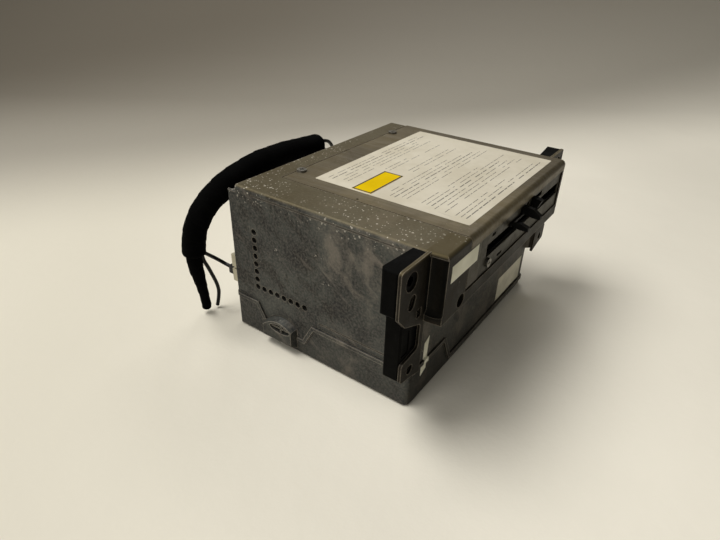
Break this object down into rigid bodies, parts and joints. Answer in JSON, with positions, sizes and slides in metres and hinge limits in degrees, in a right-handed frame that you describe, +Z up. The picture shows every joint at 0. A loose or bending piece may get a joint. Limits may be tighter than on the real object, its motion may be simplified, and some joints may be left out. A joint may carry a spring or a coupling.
{
  "type": "car head unit",
  "caption": "Used dashboard head unit without its fascia: die-cast case with steel cover, mounting ears, disc slot, side vents and a taped cable loom at the back.",
  "frame": {"origin": "centre of the unit's footprint, on the plane that its feet stand on, the loose loom left out", "axes": "+Z up, -Y out of the front with the disc slot, +X to the right seen from the front"},
  "size_m": [0.2324, 0.2063, 0.1155],
  "materials": {
    "casting": "die-cast, stained",
    "base_casting": "die-cast, stained",
    "cover_steel": "dull, zinc coated",
    "sheet_steel": "zinc coated",
    "dark_plate": "dull",
    "block_plastic": "matte",
    "claw_plastic": "matte",
    "inner_plastic": "matte",
    "white_plastic": "satin",
    "label_paper": "paper",
    "patch_paper": "paper",
    "sticker_paper": "paper",
    "badge_paper": "foil",
    "felt": "felt",
    "soft_rubber": "soft",
    "motor_can": "plated",
    "bright_steel": "ground",
    "lens_black": "gloss",
    "pinion_brass": "machined",
    "drive_alloy": "satin",
    "sink_alloy": "anodised",
    "board_green": "lacquered",
    "chip_black": "matte",
    "pad_grey": "soft",
    "header_white": "satin",
    "plug_grey": "satin",
    "socket_cream": "satin",
    "plug_black": "matte",
    "pin_metal": "tinned",
    "fan_black": "matte",
    "screw_steel": "zinc coated",
    "cloth_tape": "woven tape",
    "cable_black": "sheath"
  },
  "bodies": {
    "case": {"upper_housing": "casting", "base_cover": "base_casting", "drive_cover": "cover_steel", "left_guide_block": "block_plastic", "right_guide_block": "block_plastic", "rear_panel": "sheet_steel", "cover_label": "label_paper", "cover_patch": "patch_paper", "front_sticker": "sticker_paper", "seal_sticker": "sticker_paper", "base_badge": "badge_paper", "drive_front_plate": "dark_plate", "slot_felts": "felt", "slot_claws": "claw_plastic", "drive_chassis": "sheet_steel", "drive_carrier": "sheet_steel", "rubber_mounts": "soft_rubber", "traverse_frame": "sheet_steel", "spindle_motor": "motor_can", "guide_rods": "bright_steel", "drive_motors": "motor_can", "drive_pins": "bright_steel", "hard_drive": "drive_alloy", "disk_bracket": "sheet_steel", "main_board": "board_green", "shield_cans": "sheet_steel", "processor": "chip_black", "thermal_pad": "pad_grey", "heat_sink": "sink_alloy", "capacitors": "chip_black", "tuner_module": "sheet_steel", "main_header": "header_white", "header_pins": "pin_metal", "harness_plug": "plug_grey", "coax_sockets": "socket_cream", "antenna_plug": "plug_black", "fan_frame": "fan_black", "cover_screws": "screw_steel", "base_screws": "screw_steel", "inner_screws": "screw_steel", "rear_screws": "screw_steel", "plate_screw": "screw_steel", "harness_trunk": "cloth_tape", "harness_tail": "cloth_tape", "antenna_lead": "cable_black", "return_lead": "cable_black", "harness_lead_a": "cable_black", "harness_lead_b": "cable_black"},
    "fan_wheel": {"fan_rotor": "fan_black"},
    "disc_table": {"turntable": "inner_plastic"},
    "clamp_lever": {"clamp_arm": "sheet_steel"},
    "clamp_puck": {"clamp_disc": "white_plastic"},
    "pickup": {"pickup_sled": "inner_plastic", "pickup_lens": "lens_black"},
    "sled_screw": {"lead_screw": "bright_steel"},
    "roller": {"roller_shaft": "bright_steel", "feed_roller": "soft_rubber", "roller_gear": "white_plastic"},
    "idler": {"idler_gear": "white_plastic"},
    "pinion": {"motor_pinion": "pinion_brass"}
  },
  "joints": [
    {"name": "fan_spin", "type": "hinge", "parent": "case", "child": "fan_wheel", "pos_m": [-0.024, 0.0661, 0.074], "axis": [0, 1, 0], "continuous": true},
    {"name": "turntable_spin", "type": "hinge", "parent": "case", "child": "disc_table", "pos_m": [0.024, -0.01165, 0.084], "axis": [0, 0, 1], "continuous": true},
    {"name": "clamp_lift", "type": "hinge", "parent": "case", "child": "clamp_lever", "pos_m": [0.024, 0.04335, 0.09785], "axis": [1, 0, 0], "range_deg": [0, 5]},
    {"name": "clamp_spin", "type": "hinge", "parent": "clamp_lever", "child": "clamp_puck", "pos_m": [0.024, -0.01165, 0.093], "axis": [0, 0, 1], "continuous": true},
    {"name": "pickup_slide", "type": "slide", "parent": "case", "child": "pickup", "axis": [-1, 0, 0], "range_m": [0, 0.035]},
    {"name": "sled_screw_spin", "type": "hinge", "parent": "case", "child": "sled_screw", "pos_m": [0, 0.01335, 0.077], "axis": [1, 0, 0], "range_deg": [0, 4201]},
    {"name": "roller_spin", "type": "hinge", "parent": "case", "child": "roller", "pos_m": [0.024, -0.06265, 0.0824], "axis": [1, 0, 0], "continuous": true},
    {"name": "idler_spin", "type": "hinge", "parent": "case", "child": "idler", "pos_m": [-0.0505, -0.04935, 0.0824], "axis": [1, 0, 0], "continuous": true},
    {"name": "pinion_spin", "type": "hinge", "parent": "case", "child": "pinion", "pos_m": [-0.0505, -0.03904, 0.07885], "axis": [1, 0, 0], "continuous": true}
  ],
  "couplings": [
    {"joint": "clamp_spin", "follows": "turntable_spin", "ratio": 1},
    {"joint": "sled_screw_spin", "follows": "pickup_slide", "rad_per_m": 2094.4},
    {"joint": "idler_spin", "follows": "roller_spin", "ratio": -0.83333},
    {"joint": "pinion_spin", "follows": "roller_spin", "ratio": 1.6667}
  ]
}
